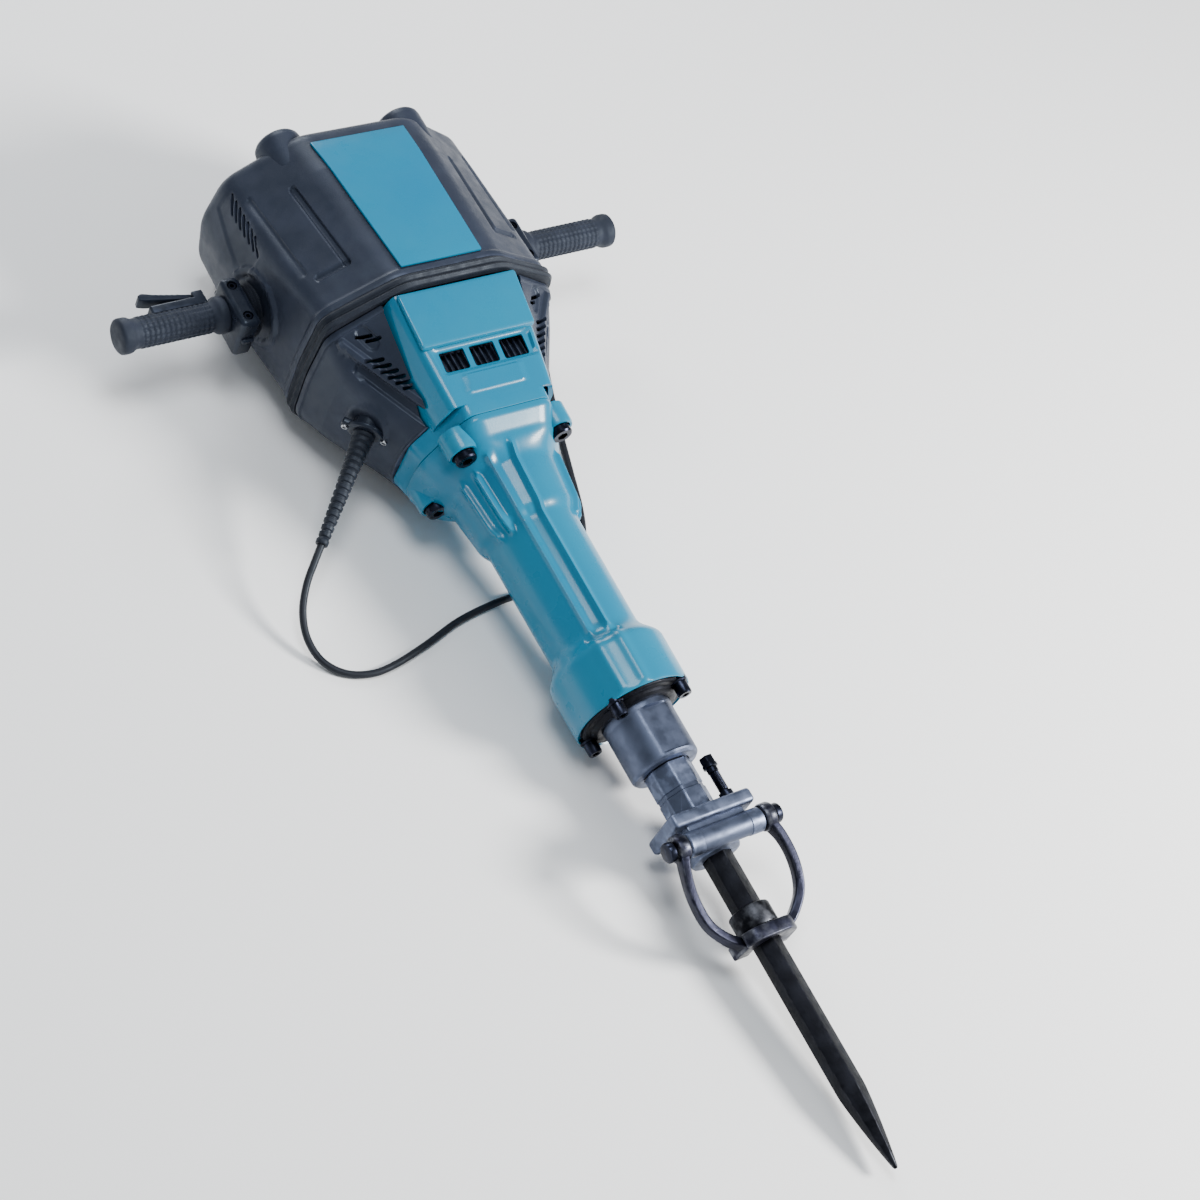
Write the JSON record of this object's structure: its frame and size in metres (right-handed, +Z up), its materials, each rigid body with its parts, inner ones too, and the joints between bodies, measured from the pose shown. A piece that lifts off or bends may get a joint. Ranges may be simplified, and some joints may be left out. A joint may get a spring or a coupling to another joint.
{
  "type": "electric jackhammer",
  "caption": "Mains demolition hammer with side handles, a swinging retainer bail and a bull point, lying on its back; crank-driven air-spring hammer inside.",
  "frame": {"origin": "on the ground under the middle of the tool's length and of its handle span, leaving out the cord and plug", "axes": "+Y along the tool from the bit to the motor head, +X towards the right handle seen from the front, +Z up; the tool lies on its back and its own axis rises 5.2 degrees towards the head"},
  "size_m": [0.63, 1.2546, 0.2339],
  "materials": {
    "black_plastic": "moulded black housing, fine texture",
    "teal_casting": "glossy teal enamel on cast aluminium",
    "teal_plastic": "glossy teal moulded plate",
    "handle_rubber": "moulded black rubber",
    "cord_rubber": "smooth black rubber sheath",
    "machined_steel": "dark oiled machined steel",
    "forged_steel": "blackened forged steel",
    "aluminium": "cast and machined",
    "winding_copper": "varnished copper winding",
    "circuit_board": "potted circuit board"
  },
  "bodies": {
    "housing": {"motor_housing": "black_plastic", "front_stripe": "teal_plastic", "seam_band": "black_plastic", "lower_cover": "black_plastic", "gear_housing": "teal_casting", "gear_cover": "teal_casting", "barrel": "teal_casting", "bearing_plate": "aluminium", "stator_core": "machined_steel", "rear_field_coil": "winding_copper", "front_field_coil": "winding_copper", "left_brush_holder": "machined_steel", "right_brush_holder": "machined_steel", "rear_bearing_bracket": "aluminium", "rear_motor_bearing": "machined_steel", "front_motor_bearing": "machined_steel", "intermediate_bearing": "machined_steel", "crank_bearing": "machined_steel", "cylinder": "machined_steel", "lower_spring_ring": "machined_steel", "upper_spring_ring": "machined_steel", "nose_sleeve": "machined_steel", "tool_holder": "machined_steel", "retainer_shaft": "machined_steel", "retainer_bolt": "forged_steel", "speed_controller": "circuit_board", "cord_gland": "black_plastic", "cord_guard": "handle_rubber", "cord_lead": "cord_rubber", "cord_coil": "cord_rubber", "cord_tail": "cord_rubber", "power_plug": "cord_rubber"},
    "handles": {"handle_yoke": "machined_steel", "left_handle_bar": "machined_steel", "right_handle_bar": "machined_steel", "left_bracket": "black_plastic", "right_bracket": "black_plastic", "left_grip": "handle_rubber", "right_grip": "handle_rubber", "switch_base": "black_plastic", "lever_pin": "machined_steel"},
    "lever": {"switch_lever": "black_plastic"},
    "plunger": {"switch_plunger": "handle_rubber"},
    "rotor": {"rotor_shaft": "machined_steel", "rotor_core": "machined_steel", "commutator": "winding_copper", "fan": "black_plastic"},
    "intermediate": {"intermediate_shaft": "machined_steel", "intermediate_gear": "machined_steel"},
    "crank": {"crank_gear": "machined_steel", "crankshaft": "machined_steel"},
    "piston_set": {"piston": "aluminium", "piston_pin": "machined_steel"},
    "rod": {"connecting_rod": "machined_steel", "crank_pin": "machined_steel"},
    "striker": {"striker": "forged_steel"},
    "impact_bolt": {"impact_bolt": "forged_steel"},
    "counterweight": {"counterweight": "forged_steel"},
    "bail": {"retainer_bail": "forged_steel"},
    "bit": {"bull_point": "forged_steel"}
  },
  "joints": [
    {"name": "handle_slide", "type": "slide", "parent": "housing", "child": "handles", "axis": [0, 0.9959, 0.0906], "range_m": [-0.004, 0.004], "stiffness_N_per_m": 16000},
    {"name": "switch_lever_press", "type": "hinge", "parent": "handles", "child": "lever", "pos_m": [-0.212, 0.50763, 0.10508], "axis": [0, -0.0906, 0.9959], "range_deg": [0, 6.5], "stiffness_Nm_per_rad": 0.6, "springref_deg": -2.86},
    {"name": "plunger_press", "type": "slide", "parent": "handles", "child": "plunger", "axis": [0, -0.9959, -0.0906], "range_m": [0, 0.0032]},
    {"name": "rotor_spin", "type": "hinge", "parent": "housing", "child": "rotor", "pos_m": [0, 0.48129, 0.11875], "axis": [0, -0.0906, 0.9959], "continuous": true},
    {"name": "intermediate_spin", "type": "hinge", "parent": "housing", "child": "intermediate", "pos_m": [0, 0.39664, 0.11105], "axis": [0, -0.0906, 0.9959], "continuous": true},
    {"name": "crank_spin", "type": "hinge", "parent": "housing", "child": "crank", "pos_m": [0, 0.31597, 0.1037], "axis": [0, -0.0906, 0.9959], "continuous": true},
    {"name": "piston_slide", "type": "slide", "parent": "housing", "child": "piston_set", "axis": [0, 0.9959, 0.0906], "range_m": [0, 0.048]},
    {"name": "rod_swing", "type": "hinge", "parent": "piston_set", "child": "rod", "pos_m": [0, 0.1875, 0.09201], "axis": [0, -0.0906, 0.9959], "range_deg": [-13.2, 13.2]},
    {"name": "striker_slide", "type": "slide", "parent": "housing", "child": "striker", "axis": [0, 0.9959, 0.0906], "range_m": [0, 0.095]},
    {"name": "impact_bolt_slide", "type": "slide", "parent": "housing", "child": "impact_bolt", "axis": [0, 0.9959, 0.0906], "range_m": [0, 0.008]},
    {"name": "counterweight_slide", "type": "slide", "parent": "housing", "child": "counterweight", "axis": [0, 0.9959, 0.0906], "range_m": [-0.008, 0.008], "stiffness_N_per_m": 9000},
    {"name": "bail_swing", "type": "hinge", "parent": "housing", "child": "bail", "pos_m": [0, -0.26744, 0.08174], "axis": [-1, 0, 0], "range_deg": [0, 110]},
    {"name": "bit_slide", "type": "slide", "parent": "housing", "child": "bit", "axis": [0, 0.9959, 0.0906], "range_m": [0, 0.06]}
  ],
  "couplings": [
    {"joint": "plunger_press", "follows": "switch_lever_press", "m_per_rad": 0.028},
    {"joint": "intermediate_spin", "follows": "rotor_spin", "ratio": -0.23636},
    {"joint": "crank_spin", "follows": "rotor_spin", "ratio": 0.067532}
  ]
}
